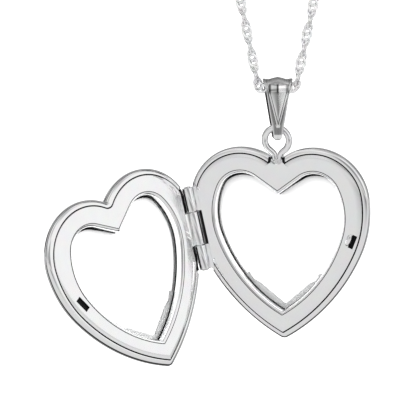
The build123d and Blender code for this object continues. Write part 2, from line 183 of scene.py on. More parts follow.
def wire_ring(bm, place, radius, wire, start=0.0, arc=360.0, sides=12, steps=48):
    """Round wire bent to a ring, or to part of one, in the place's own x-y plane."""
    across = place @ turned("Z", start) @ Matrix.Translation((radius, 0, 0))
    whole = arc >= 360
    section = bmesh.ops.create_circle(
        bm, cap_ends=not whole, segments=sides, radius=wire,
        matrix=across @ turned("X", 90),
    )["verts"]
    edges = {edge for vert in section for edge in vert.link_edges}
    faces = {face for vert in section for face in vert.link_faces}
    bmesh.ops.spin(
        bm, geom=section + list(edges) + list(faces), cent=place.translation,
        axis=place.to_3x3() @ Vector((0, 0, 1)), angle=radians(arc), steps=steps, use_merge=whole,
    )


def traced(name, points, kind="NURBS", wire=0.0, round_steps=0, steps=24):
    """A line led by points, or round wire bent along that line, as a mesh."""
    curve = bpy.data.curves.new(name, "CURVE")
    curve.dimensions = "3D"
    curve.bevel_depth = wire
    curve.bevel_resolution = round_steps
    curve.use_fill_caps = wire > 0
    line = curve.splines.new(kind)
    line.points.add(len(points) - 1)
    for point, spot in zip(line.points, points):
        point.co = (*spot, 1)
    if kind == "NURBS":
        line.order_u = 3
        line.use_endpoint_u = True
        line.resolution_u = steps
    carrier = placed(name, curve)
    bpy.context.view_layer.update()
    mesh = bpy.data.meshes.new_from_object(carrier)
    bpy.data.objects.remove(carrier)
    return mesh


# The chain's line: up one run, round through the bail and up the other.
CHAIN_END = (4.836, 14.411)
chain_half = (CHAIN_END, (3.15, 6.34), (2.07, 1.15), (1.84, 0.04), (1.0, 0.11))
chain_points = [(-x * MM, 0, z * MM) for x, z in chain_half]
chain_points += [(x * MM, 0, z * MM) for x, z in reversed(chain_half)]
chain_line = traced("chain line", chain_points)
chain_path = [vert.co.copy() for vert in chain_line.vertices]
bpy.data.meshes.remove(chain_line)

LINK_WIRE = 0.125 * MM
LINK_RADIUS = 0.44 * MM
LINK_STRETCH = 1.28
LINK_STEP = 0.59 * MM
LINK_TURN = 36.0
link_bm = bmesh.new()
wire_ring(link_bm, Matrix(), LINK_RADIUS, LINK_WIRE, sides=8, steps=22)
bmesh.ops.scale(link_bm, vec=(LINK_STRETCH, 1, 1), verts=link_bm.verts)
one_link = as_mesh(link_bm, "link")
chain_bm = bmesh.new()
gone = 0.0
count = 0
for here, there in zip(chain_path, chain_path[1:]):
    run = (there - here).length
    while gone <= run:
        ahead = (there - here).normalized()
        inward = Vector((0, 1, 0))
        across = ahead.cross(inward)
        angle = radians(LINK_TURN * count)
        face = inward * cos(angle) + across * sin(angle)
        centre = here + ahead * gone
        turn = Matrix((ahead, face.cross(ahead), face)).transposed().to_4x4()
        before = len(chain_bm.verts)
        chain_bm.from_mesh(one_link)
        chain_bm.verts.ensure_lookup_table()
        bmesh.ops.transform(
            chain_bm, matrix=Matrix.Translation(centre) @ turn, verts=chain_bm.verts[before:],
        )
        gone += LINK_STEP
        count += 1
    gone -= run
chain_silver = silver("chain silver", (0.98, 0.98, 0.985), 0.10, 0.04)
chain_silver.node_tree.nodes["Principled BSDF"].inputs["Metallic"].default_value = 0.82
chain = settle("rope_chain", chain_bm, chain_silver, "chain", "silver", "chain")

# ---------------------------------------------------------------- clasp and end tag
# Bought findings: a soldered jump ring at each chain end, a spring-ring clasp on one, and on
# the other a flat tag stamped from sheet, with its edges tumbled round.
finding_silver = silver("finding silver", roughness=0.05)
CHAIN_LEAN = 11.8
left_end = shifted(-CHAIN_END[0], 0, CHAIN_END[1]) @ turned("Y", -CHAIN_LEAN)
right_end = shifted(CHAIN_END[0], 0, CHAIN_END[1]) @ turned("Y", CHAIN_LEAN)
RING_WIRE = 0.25 * MM
RING_RADIUS = 1.25 * MM
RING_PLAY = 0.02 * MM
ring_centre = RING_WIRE + RING_RADIUS + RING_PLAY
for ring_name, end in (("clasp_ring", left_end), ("tag_ring", right_end)):
    ring_bm = bmesh.new()
    wire_ring(
        ring_bm, end @ Matrix.Translation((0, 0, ring_centre)) @ turned("Y", 90),
        RING_RADIUS, RING_WIRE, sides=16, steps=64,
    )
    settle("silver_" + ring_name, ring_bm, finding_silver, "chain", "silver", ring_name)

CLASP_RADIUS = 1.95 * MM
CLASP_TUBE = 0.50 * MM
clasp_joint = next(j for j in frame["record"]["behaviour"]["joints"] if j["name"] == "clasp_pull")
clasp_place = (
    Matrix.Translation(Vector(clasp_joint["pos_m"])) @ turned("Y", -CHAIN_LEAN) @ turned("X", 90)
)
GAP_START, GAP_END = 20.0, 62.0
SLOT_START, SLOT_ARC = 69.0, 62.0
clasp_bm = bmesh.new()


def closed_loop(bm, points):
    """Draws edges from point to point and back to the first."""
    verts = [bm.verts.new(point) for point in points]
    return verts, [bm.edges.new(pair) for pair in zip(verts, verts[1:] + verts[:1])]


# The tube has a C-section along the slot and is a full ring elsewhere.
TUBE_SIDES = 24
TUBE_BORE = CLASP_TUBE - 0.16 * MM
SLOT_HALF = 34.0
for start, arc, low, high in (
    (GAP_END, SLOT_START - GAP_END, 0, 360),
    (SLOT_START, SLOT_ARC, SLOT_HALF, 360 - SLOT_HALF),
    (SLOT_START + SLOT_ARC, 360 - SLOT_START - SLOT_ARC + GAP_START, 0, 360),
):
    turn = clasp_place @ turned("Z", start)
    section = []
    for radius, begin, end in ((CLASP_TUBE, low, high), (TUBE_BORE, high, low)):
        for step in range(TUBE_SIDES + 1):
            angle = radians(begin + (end - begin) * step / TUBE_SIDES)
            spot = Vector((CLASP_RADIUS + radius * cos(angle), 0, radius * sin(angle)))
            section.append(turn @ spot)
    verts, edges = closed_loop(clasp_bm, section)
    spun = bmesh.ops.spin(
        clasp_bm, geom=verts + edges, cent=clasp_place.translation,
        axis=clasp_place.to_3x3() @ Vector((0, 0, 1)), angle=radians(arc), steps=int(arc / 4) + 2,
    )
    last = [item for item in spun["geom_last"] if isinstance(item, bmesh.types.BMEdge)]
    for rim in (edges, last):
        bmesh.ops.contextual_create(clasp_bm, geom=rim)
CLASP_EYE_RADIUS, CLASP_EYE_WIRE = 0.62 * MM, 0.20 * MM
eye_centre = ring_centre + RING_RADIUS - RING_WIRE + CLASP_EYE_RADIUS - CLASP_EYE_WIRE - RING_PLAY
wire_ring(
    clasp_bm, left_end @ Matrix.Translation((0, 0, eye_centre)) @ turned("X", 90),
    CLASP_EYE_RADIUS, CLASP_EYE_WIRE, sides=14, steps=40,
)
clasp = settle("silver_clasp", clasp_bm, finding_silver, "chain", "silver", "clasp_body")

BOLT_RADIUS = 0.28 * MM
BOLT_LEAD = 8.0
BOLT_ARC = 88.0
bolt_bm = bmesh.new()
wire_ring(
    bolt_bm, clasp_place, CLASP_RADIUS, BOLT_RADIUS, start=GAP_START - BOLT_LEAD, arc=BOLT_ARC,
    sides=20, steps=40,
)
KNOB_RADIUS = 0.18 * MM
KNOB_HEIGHT = 1.0 * MM
KNOB_TURN = SLOT_START + 6.5
knob_place = (
    clasp_place @ turned("Z", KNOB_TURN)
    @ Matrix.Translation((CLASP_RADIUS + KNOB_HEIGHT / 2, 0, 0)) @ turned("Y", 90)
)
knob = bmesh.ops.create_cone(
    bolt_bm, cap_ends=True, segments=24, radius1=KNOB_RADIUS, radius2=KNOB_RADIUS,
    depth=KNOB_HEIGHT, matrix=knob_place,
)["verts"]
knob_edges = {edge for vert in knob for edge in vert.link_edges if len(edge.link_faces) == 2}
rims = [edge for edge in knob_edges if any(len(face.verts) > 4 for face in edge.link_faces)]
bmesh.ops.bevel(
    bolt_bm, geom=rims, offset=0.05 * MM, segments=3, profile=0.5, affect="EDGES", material=-1,
)
bolt = settle("silver_clasp_bolt", bolt_bm, finding_silver, "clasp_bolt", "silver", "clasp_bolt")

# The clasp's spring: fine wire coiled round the ring's own curve behind the bolt.
SPRING_START, SPRING_ARC, SPRING_TURNS = 101.0, 110.0, 22
SPRING_WIRE = 0.05 * MM
SPRING_RADIUS = BOLT_RADIUS - SPRING_WIRE
SPRING_STEPS = SPRING_TURNS * 12
coil = []
for step in range(SPRING_STEPS + 1):
    part = step / SPRING_STEPS
    round_ring = radians(SPRING_START + SPRING_ARC * part)
    round_wire = 2 * pi * SPRING_TURNS * part
    out = CLASP_RADIUS + SPRING_RADIUS * cos(round_wire)
    high = SPRING_RADIUS * sin(round_wire)
    coil.append(clasp_place @ Vector((out * cos(round_ring), out * sin(round_ring), high)))
spring_bm = bmesh.new()
spring_bm.from_mesh(traced("spring line", coil, "POLY", SPRING_WIRE, round_steps=2))
spring = settle(
    "clasp_spring_coil", spring_bm, silver("spring wire", (0.78, 0.78, 0.80), 0.18), None,
    "spring_steel", "clasp_spring",
)
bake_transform(spring)

TAG_GAUGE, TAG_SPAN, TAG_WIDTH = 0.40 * MM, 2.6 * MM, 3.0 * MM
TAG_RING_HOLE, TAG_EYE = 0.55 * MM, 0.95 * MM
TAG_SIDES = 64
tag_foot = ring_centre + RING_RADIUS + TAG_RING_HOLE - RING_WIRE - RING_PLAY
tag_place = right_end @ Matrix.Translation((0, 0, tag_foot)) @ turned("X", 90)
tag_bm = bmesh.new()
tag_loops = []
for radius, foot, head in (
    (TAG_WIDTH / 2, 0, TAG_SPAN), (TAG_RING_HOLE, 0, 0), (TAG_EYE, TAG_SPAN, TAG_SPAN),
):
    for level in (-TAG_GAUGE / 2, TAG_GAUGE / 2):
        rim = []
        for step in range(TAG_SIDES):
            angle = 2 * pi * step / TAG_SIDES
            lift = head if sin(angle) > 0 else foot
            rim.append(tag_place @ Vector((radius * cos(angle), lift + radius * sin(angle), level)))
        tag_loops.append(closed_loop(tag_bm, rim)[1])
for low, high in zip(tag_loops[::2], tag_loops[1::2]):
    bmesh.ops.bridge_loops(tag_bm, edges=low + high)
for level in (0, 1):
    bmesh.ops.triangle_fill(
        tag_bm, use_beauty=True, edges=tag_loops[level] + tag_loops[2 + level] + tag_loops[4 + level],
    )
bmesh.ops.recalc_face_normals(tag_bm, faces=tag_bm.faces)
bmesh.ops.bevel(
    tag_bm, geom=[edge for loop in tag_loops for edge in loop], offset=0.09 * MM, segments=3,
    profile=0.5, affect="EDGES", material=-1,
)
tag = settle("silver_end_tag", tag_bm, finding_silver, "chain", "silver", "chain_tag")

# ---------------------------------------------------------------- bail
# One cast silver strip, folded over the chain and closed under the eyelet. Its front leaf flares
# to a scalloped crown and has a sunk panel inside a raised V. It is polished; its colour carries
# painted shade beside the V, a painted shadow inside the fold, painted reflections on the panel
# and crown, and a painted highlight on one side of the panel.


def loft(bm, outlines):
    """Skins a wall through outlines of equally many points, by drawing one loop on and on."""
    ring, edges = closed_loop(bm, outlines[0])
    for outline in outlines[1:]:
        drawn = bmesh.ops.extrude_edge_only(bm, edges=edges)["geom"]
        fresh = {item for item in drawn if isinstance(item, bmesh.types.BMVert)}
        ring = [
            next(edge.other_vert(vert) for edge in vert.link_edges if edge.other_vert(vert) in fresh)
            for vert in ring
        ]
        for vert, point in zip(ring, outline):
            vert.co = point
        edges = [
            item for item in drawn
            if isinstance(item, bmesh.types.BMEdge) and fresh.issuperset(item.verts)
        ]
    return edges


def along(value, *knots):
    """Reads a value off straight lines drawn through (place, value) knots."""
    for (low, at_low), (high, at_high) in zip(knots, knots[1:]):
        if value <= high:
            part = max(0.0, (value - low) / (high - low))
            return at_low + (at_high - at_low) * part
    return knots[-1][1]


bail_place = turned("Z", 5.0)
BAIL_TOP, BAIL_RADIUS, BAIL_HOLLOW = -0.15, 1.15, 0.85
FOOT_HEIGHT, FOOT_RADIUS, FOOT_OFFSET = -4.52, 0.62, 0.35
FLOOR_HEIGHT, FLOOR_RADIUS, FLOOR_OFFSET = -4.01, 0.48, 0.25
BAIL_SLANT = 2.36
LEAF_STEPS = 40
crown_arc = ((0, BAIL_TOP), BAIL_RADIUS, (0, BAIL_TOP), BAIL_HOLLOW)
front_foot = ((-FOOT_OFFSET, FOOT_HEIGHT), FOOT_RADIUS, (-FLOOR_OFFSET, FLOOR_HEIGHT), FLOOR_RADIUS)
back_foot = ((FOOT_OFFSET, FOOT_HEIGHT), FOOT_RADIUS, (FLOOR_OFFSET, FLOOR_HEIGHT), FLOOR_RADIUS)
stations = []
for (centre, radius, hollow, hollow_radius), low, high, steps in (
    (crown_arc, 90, 180 + BAIL_SLANT, 22), (front_foot, 180 + BAIL_SLANT, 270, 14),
    (back_foot, 270, 360 - BAIL_SLANT, 14), (crown_arc, 360 - BAIL_SLANT, 450, 22),
):
    corner = []
    for step in range(steps + 1):
        angle = radians(low + (high - low) * step / steps)
        ray = Vector((cos(angle), sin(angle)))
        corner.append((
            Vector(centre) + ray * radius, Vector(hollow) + ray * hollow_radius, ray, angle,
        ))
    if stations and (corner[0][0] - stations[-1][0]).length > 1:
        last = stations[-1]
        for step in range(1, LEAF_STEPS):
            part = step / LEAF_STEPS
            stations.append((
                last[0].lerp(corner[0][0], part), last[1].lerp(corner[0][1], part),
                corner[0][2], corner[0][3],
            ))
    stations += corner

V_POINT, V_WIDTH = -3.62, 0.93
CROWN_PEAK, CROWN_REACH, CROWN_END = 112, 42, 160
CROWN_RISE, SCALLOP_SPAN = 0.22, 1.9
RIM_DROP = 0.07
bail_width = (
    (-5.2, 0.20), (-4.95, 0.42), (-3.9, 0.56), (-3.3, 0.68), (-0.15, 1.20), (0.6, 1.27), (1.2, 1.30),
)
panel_top = ((0.47, 1.0), (0.72, 0.0))
above_v = ((V_POINT - 0.12, 0.0), (V_POINT + 0.02, 1.0))
bail_outlines = []
for outer, hollow, ray, angle in stations:
    high = outer.y
    front = 1.0 if outer.x < 0 else 0.0
    crown = 0.0
    if degrees(angle) < CROWN_END:
        crown = max(0.0, 1 - abs(degrees(angle) - CROWN_PEAK) / CROWN_REACH)
    crown = crown * crown * (3 - 2 * crown)
    half = along(high, *bail_width) + CROWN_RISE * crown
    panel = max(0.0, V_WIDTH * (high - V_POINT) / -V_POINT)
    depth = front * along(high, (V_POINT - 0.1, 0.0), (V_POINT + 0.35, 1.0), *panel_top)
    sunk = -RIM_DROP * front * along(high, (-4.98, 0.0), (-4.85, 1.0), *panel_top)
    below = sunk * (1 - along(high, *above_v))
    swell = 0.018 * along(high, *above_v)
    steps_across = (
        (0.0, below - 0.16 * depth), (0.35 * panel, below - 0.15 * depth),
        (0.72 * panel, below - 0.13 * depth), (panel - 0.03, below - 0.11 * depth),
        (panel - 0.01, below - 0.05), (panel + 0.02, below), (panel + 0.07, below + swell),
        (panel + 0.12, below), (panel + 0.15, below * 0.5 - 0.03), (panel + 0.18, sunk),
        (panel + 0.26, sunk),
    )
    right = [(min(x, half - 0.12 + 0.004 * n), drop) for n, (x, drop) in enumerate(steps_across)]
    right += [(half - 0.075, sunk), (half - 0.025, sunk - 0.02), (half, sunk - 0.09)]
    section = [(-x, drop) for x, drop in reversed(right[1:])] + right
    outline = []
    for x, drop in section:
        scallop = 0.30 * max(0.0, cos(pi * x / SCALLOP_SPAN)) ** 1.5
        scallop += 0.14 * max(0.0, abs(x) - 1.05) / 0.45
        spot = outer + ray * (drop + crown * scallop)
        outline.append(bail_place @ (Vector((x, spot.x, spot.y)) * MM))
    eased = ((half - 0.01, 0.15), (half - 0.08, 0.06), (half - 0.18, 0.0))
    for x, edge in (*eased, (0.0, 0.0), *((-x, edge) for x, edge in reversed(eased))):
        spot = hollow + ray * edge
        outline.append(bail_place @ (Vector((x, spot.x, spot.y)) * MM))
    bail_outlines.append(outline)
bail_bm = bmesh.new()
loft(bail_bm, bail_outlines)
bail_silver = silver("bail silver", roughness=0.05)
nodes, links = bail_silver.node_tree.nodes, bail_silver.node_tree.links
metal = nodes["Principled BSDF"]
where = nodes.new("ShaderNodeTexCoord")
parts = nodes.new("ShaderNodeSeparateXYZ")
links.new(where.outputs["Object"], parts.inputs[0])


def mapped(nodes, links, value, reach=(0.0, 1.0), onto=(0.0, 1.0)):
    """A value scaled from one reach onto another, and held at its ends."""
    scale = nodes.new("ShaderNodeMapRange")
    for label, limit in zip(("From Min", "From Max", "To Min", "To Max"), (*reach, *onto)):
        scale.inputs[label].default_value = limit
    links.new(value, scale.inputs["Value"])
    return scale.outputs["Result"]


def reckoned(nodes, links, operation, *values):
    """An operation on values, each of them a number or what another node gives."""
    result = nodes.new("ShaderNodeMath")
    result.operation = operation
    for value, given in zip(values, result.inputs):
        if isinstance(value, (int, float)):
            given.default_value = value
        else:
            links.new(value, given)
    return result.outputs[0]


def shaded(nodes, links, value, *stops):
    """A colour read off a value by stops, each a position and then one grey or three colours."""
    ramp = nodes.new("ShaderNodeValToRGB")
    shades = ramp.color_ramp.elements
    for index, (position, *tone) in enumerate(stops):
        stop = shades[index] if index < 2 else shades.new(position)
        stop.position = position
        stop.color = (*(tone if len(tone) == 3 else 3 * tone), 1)
    links.new(value, ramp.inputs["Fac"])
    return ramp.outputs["Color"]


def toned(nodes, links, colour, factor, tone, blend="MIX"):
    """Lays a tone over a colour, as far as the factor says."""
    layer = nodes.new("ShaderNodeMix")
    layer.data_type = "RGBA"
    layer.blend_type = blend
    links.new(colour, layer.inputs["A"])
    if isinstance(factor, float):
        layer.inputs["Factor"].default_value = factor
    else:
        links.new(factor, layer.inputs["Factor"])
    if isinstance(tone, float):
        layer.inputs["B"].default_value = (tone, tone, tone, 1)
    else:
        links.new(tone, layer.inputs["B"])
    return layer.outputs["Result"]


def fading(axis, low, high):
    """A mask that rises from 0 to 1 between two places, in mm, along an axis of the bail."""
    return mapped(nodes, links, parts.outputs[axis], (low * MM, high * MM))


def both(first, second):
    """A mask of where two masks meet."""
    return reckoned(nodes, links, "MULTIPLY", first, second)


# Painted reflection: dark and light stripes are painted up the panel's colour, as a polished face
# would show its surroundings.
stripes = shaded(
    nodes, links, fading("X", -1.3, 1.3),
    (0.0, 0.9), (0.13, 0.85), (0.18, 0.12), (0.23, 0.12), (0.28, 0.75), (0.46, 0.65), (0.49, 0.10),
    (0.53, 0.10), (0.57, 1.0), (0.80, 0.9), (0.86, 0.35), (0.92, 0.35), (1.0, 0.9),
)
stripe_reach = both(fading("Z", -0.55, -0.25), fading("Z", 0.60, 0.45))

# Painted shade: a dark line is painted in the corner on each side of the raised V.
from_middle = reckoned(nodes, links, "SUBTRACT", parts.outputs["X"], 0.10 * MM)
aside = reckoned(nodes, links, "ABSOLUTE", from_middle)
from_v = reckoned(nodes, links, "MULTIPLY_ADD", parts.outputs["Z"], V_WIDTH / V_POINT, aside)
v_shade_lines = shaded(
    nodes, links, mapped(nodes, links, from_v, (0.83 * MM, 1.23 * MM)),
    (0.05, 1.0), (0.12, 0.22), (0.24, 0.22), (0.30, 1.0), (0.58, 1.0), (0.64, 0.30), (0.74, 0.30),
    (0.82, 1.0),
)
v_reach = both(fading("Z", -3.75, -3.55), fading("Z", 0.10, -0.20))
coat = toned(nodes, links, nodes["Group"].outputs["Colour"], stripe_reach, stripes, "MULTIPLY")
coat = toned(nodes, links, coat, v_reach, v_shade_lines, "MULTIPLY")

# The crown is rougher than the leaf and its colour is painted grey as a dark reflection, and the
# inside of the fold is painted black as shadow.
on_crown = fading("Z", 0.40, 0.70)
inside = both(fading("Y", -0.10, 0.10), fading("Y", 1.02, 0.95))
coat = toned(nodes, links, coat, on_crown, 0.52)
coat = toned(nodes, links, coat, inside, 0.035)
links.new(coat, metal.inputs["Base Color"])
links.new(mapped(nodes, links, on_crown, onto=(0.05, 0.42)), metal.inputs["Roughness"])

# Painted highlight: one side of the panel is made less metallic, so that it shows matt white.
panel_highlight = both(fading("X", 0.06, 0.22), both(fading("Z", -2.6, -1.0), fading("Z", 0.50, 0.25)))
links.new(mapped(nodes, links, panel_highlight, onto=(1.0, 0.72)), metal.inputs["Metallic"])
settle("silver_bail", bail_bm, bail_silver, "bail", "silver", "bail", smooth=50)

# ---------------------------------------------------------------- back shell and cover shell
# Two hearts stamped from 0.35 mm silver sheet, domed outside, with a flat rim that is turned
# in to hold the picture frame. Beside the hinge the wall is cut back for the barrel.


back_place = (
    shifted(-0.10, -0.23, -7.37)
    @ turned("X", 90) @ turned("Y", -19.75) @ turned("X", 4.5) @ turned("Z", 0.9)
)
HINGE_X, HINGE_Y, HINGE_LEAN = -8.82, -6.93, 10.8
OPENING = 121.2
hinge_place = shifted(HINGE_X, HINGE_Y, 0) @ turned("Z", HINGE_LEAN)
cover_place = back_place @ hinge_place @ turned("Y", -OPENING) @ hinge_place.inverted()
halves = (("back", back_place, -1), ("cover", cover_place, 1))

LOBE_RADIUS = 5.66
CLEFT_SLOPE = radians(42.3)
RIM = dict(
    lobe=(LOBE_RADIUS * sin(CLEFT_SLOPE), -LOBE_RADIUS * cos(CLEFT_SLOPE)),
    radii=(LOBE_RADIUS, 10.89, 19.63), bends=(5.55, -26.0), cleft=0.12, tip=0.75,
)
WINDOW = dict(
    lobe=(3.85, -3.66), radii=(2.82, 6.84, 14.58), bends=(25.5, -18.5), cleft=-2.91, tip=0.10,
)


def polar(centre, radius, angle):
    return Vector((centre[0] + radius * cos(radians(angle)), centre[1] + radius * sin(radians(angle))))


def heart(lobe, radii, bends, cleft, tip, inset=0.0):
    """Outline of a heart, inset, as points from the cleft round by the tip, in mm.

    Three tangent arcs make a side, and a small one the tip. A cleft above zero is the radius
    of an arc that rounds the notch; below zero it is the height where straight flanks meet.
    """
    first, second, third = (radius - inset for radius in radii)
    middle = polar(lobe, radii[0] - radii[1], bends[0])
    side = polar(middle, radii[1] - radii[2], bends[1])
    round_tip = max(tip - inset, 0.04)
    tip_height = side.y - sqrt((third - round_tip) ** 2 - side.x**2)
    end = degrees(atan2(tip_height - side.y, -side.x))
    half = []
    if cleft > 0:
        notch = lobe[1] + sqrt((radii[0] + cleft) ** 2 - lobe[0] ** 2)
        leave = degrees(atan2(lobe[1] - notch, lobe[0]))
        half += [polar((0, notch), cleft + inset, -90 + (leave + 90) * n / 10) for n in range(10)]
        start = 180 + leave
    else:
        low = Vector((0, cleft - 1.2 * inset))
        reach = hypot(lobe[0], low.y - lobe[1])
        start = degrees(atan2(low.y - lobe[1], -lobe[0]) - acos(first / reach))
        touch = polar(lobe, first, start)
        half += [low.lerp(touch, n / 10) for n in range(10)]
    for centre, radius, begin, finish, steps in (
        (lobe, first, start, bends[0], 52), (middle, second, bends[0], bends[1], 40),
        (side, third, bends[1], end, 56), ((0, tip_height), round_tip, end, -90, 8),
    ):
        half += [polar(centre, radius, begin + (finish - begin) * n / steps) for n in range(steps)]
    bottom = Vector((0, tip_height - round_tip))
    return half + [bottom] + [Vector((-point.x, point.y)) for point in reversed(half[1:])]


HINGE_REACH = 4.42


def clear_hinge(points, limit):
    """Moves points that would foul the hinge barrel sideways, off its centre line."""
    moved = []
    reach = HINGE_REACH * MM
    for point in points:
        spot = hinge_place.inverted() @ (Vector((point.x, point.y, 0)) * MM)
        if abs(spot.y) < reach and spot.x < limit * MM:
            spot.x = limit * MM
            spot = hinge_place @ spot / MM
            point = Vector((spot.x, spot.y))
        moved.append(point)
    return moved


def lay(place, side, points, depth):
    """Puts a flat outline at a depth behind the face where the halves meet."""
    return [place @ (Vector((point.x, point.y, side * depth)) * MM) for point in points]


HEART_MIDDLE, DOME_ROUND = Vector((0, -7.6)), 8.6
RIM_TOP, RIM_WIDTH, BARREL_NOTCH = 0.12, 0.58, 0.64
WALL_FOOT, HALF_DEPTH, SHELL_GAUGE = 0.74, 2.80, 0.35
DOME_FULLNESS, DOME_RISE = 0.62, 1.05


def domed(place, side, gauge, count):
    """Outlines from the top of the wall up over the dome, for the outside or the inside."""
    outlines = []
    base = clear_hinge(heart(**RIM, inset=gauge), gauge - 0.08)
    for step in range(count + 1):
        swing = 0.5 * pi * step / count
        spread = max(cos(swing), 0.004) ** DOME_FULLNESS
        height = WALL_FOOT + (HALF_DEPTH - gauge - WALL_FOOT) * sin(swing) ** DOME_RISE
        ring = []
        for point in base:
            arm = point - HEART_MIDDLE
            round_arm = arm.normalized() * DOME_ROUND
            blend = (1 - spread) ** 1.5
            ring.append(HEART_MIDDLE + spread * arm.lerp(round_arm, blend))
        outlines.append(lay(place, side, ring, height))
    return outlines


shell_silver = silver("shell silver", roughness=0.05, wave=0.00001, wave_scale=160)
for half_name, place, side in halves:
    shell_bm = bmesh.new()
    outlines = list(reversed(domed(place, side, SHELL_GAUGE, 18)))
    for inset, depth, limit in (
        (SHELL_GAUGE, BARREL_NOTCH + 0.02, SHELL_GAUGE - 0.08), (SHELL_GAUGE, 0.5, 1.0),
        (RIM_WIDTH, 0.44, 1.0), (RIM_WIDTH, RIM_TOP + 0.03, 1.0), (RIM_WIDTH - 0.02, RIM_TOP, 1.0),
        (0.44, RIM_TOP, 1.0), (0.30, RIM_TOP + 0.02, 1.0), (0.18, RIM_TOP + 0.07, 1.0),
        (0.09, RIM_TOP + 0.15, 1.0), (0.03, RIM_TOP + 0.26, 1.0), (0.0, RIM_TOP + 0.38, 1.0),
        (-0.01, BARREL_NOTCH - 0.02, 1.0), (-0.01, BARREL_NOTCH, -0.08),
    ):
        ring = clear_hinge(heart(**RIM, inset=inset), limit)
        outlines.append(lay(place, side, ring, depth))
    outlines += domed(place, side, 0.0, 30)
    bmesh.ops.contextual_create(shell_bm, geom=loft(shell_bm, outlines))
    other_end = [edge for edge in shell_bm.edges if edge.is_boundary]
    bmesh.ops.contextual_create(shell_bm, geom=other_end)
    settle(
        half_name + "_silver_shell", shell_bm, shell_silver, half_name, "silver",
        half_name + "_shell",
    )

# ---------------------------------------------------------------- picture frames
# Thin silver sheet, cut to the rim and pressed in, with its inner edge rolled down round the
# window. The back's carries the snap catch, the cover's the slot for it.
FRAME_TOP, FRAME_GAUGE, LIP_WIDTH, LIP_DEPTH = 0.02, 0.28, 0.34, 1.05
SEAM = 0.10
FRAME_EDGE = RIM_WIDTH + SEAM
FRAME_NOTCH = 0.98
SEAT_HALF, SEAT_RADIUS, SEAT_DROP = 0.80, 1.6, 0.25
CATCH = shifted(7.33, -7.78, 0) @ turned("Z", -24)


def seated(points):
    """Fills the notch of an outline up to the scoop where the eyelet's legs go down."""
    filled = []
    for point in points:
        if abs(point.x) < SEAT_HALF and point.y > -2:
            scoop = SEAT_RADIUS - SEAT_DROP - sqrt(SEAT_RADIUS**2 - point.x**2)
            point = Vector((point.x, max(point.y, scoop)))
        filled.append(point)
    return filled


def rounded_bar(bm, place, size, centre, ease):
    """A small bar of the given size in mm, with eased edges."""
    verts = bmesh.ops.create_cube(
        bm, size=1.0,
        matrix=place @ shifted(*centre)
        @ Matrix.Diagonal((*(length * MM for length in size), 1)),
    )["verts"]
    edges = list({edge for vert in verts for edge in vert.link_edges})
    bmesh.ops.bevel(
        bm, geom=edges, offset=ease * MM, segments=3, profile=0.5, affect="EDGES", material=-1,
    )


frame_silver = silver("frame silver", roughness=0.07, wave=0.000012, wave_scale=120)
frames = {}
for half_name, place, side in halves:
    frame_bm = bmesh.new()
    outlines = []
    under = FRAME_TOP + FRAME_GAUGE
    for inset, depth in (
        (FRAME_EDGE, under), (FRAME_EDGE, FRAME_TOP + 0.06), (FRAME_EDGE + 0.02, FRAME_TOP + 0.015),
        (FRAME_EDGE + 0.06, FRAME_TOP),
    ):
        ring = heart(**RIM, inset=inset)
        ring = seated(ring) if half_name == "back" else ring
        outlines.append(lay(place, side, clear_hinge(ring, FRAME_NOTCH), depth))
    flat_out, flat_in = ring, heart(**WINDOW)
    for part in (0.33, 0.66):
        middle = [a.lerp(b, part) for a, b in zip(flat_out, flat_in)]
        outlines.append(lay(place, side, clear_hinge(middle, FRAME_NOTCH), FRAME_TOP))
    for step in range(9):
        roll = radians(90 * step / 8)
        ring = heart(**WINDOW, inset=LIP_WIDTH * sin(roll))
        outlines.append(lay(place, side, ring, FRAME_TOP + LIP_WIDTH * (1 - cos(roll))))
    for inset, depth in (
        (LIP_WIDTH, LIP_DEPTH - 0.04), (LIP_WIDTH - 0.04, LIP_DEPTH), (0.10, LIP_DEPTH),
        (0.06, LIP_DEPTH - 0.04), (0.06, under + 0.1), (-0.04, under),
    ):
        outlines.append(lay(place, side, heart(**WINDOW, inset=inset), depth))
    outlines.append(outlines[0])
    loft(frame_bm, outlines)
    frames[half_name] = settle(
        half_name + "_silver_frame", frame_bm, frame_silver, half_name, "silver", half_name + "_frame",
    )
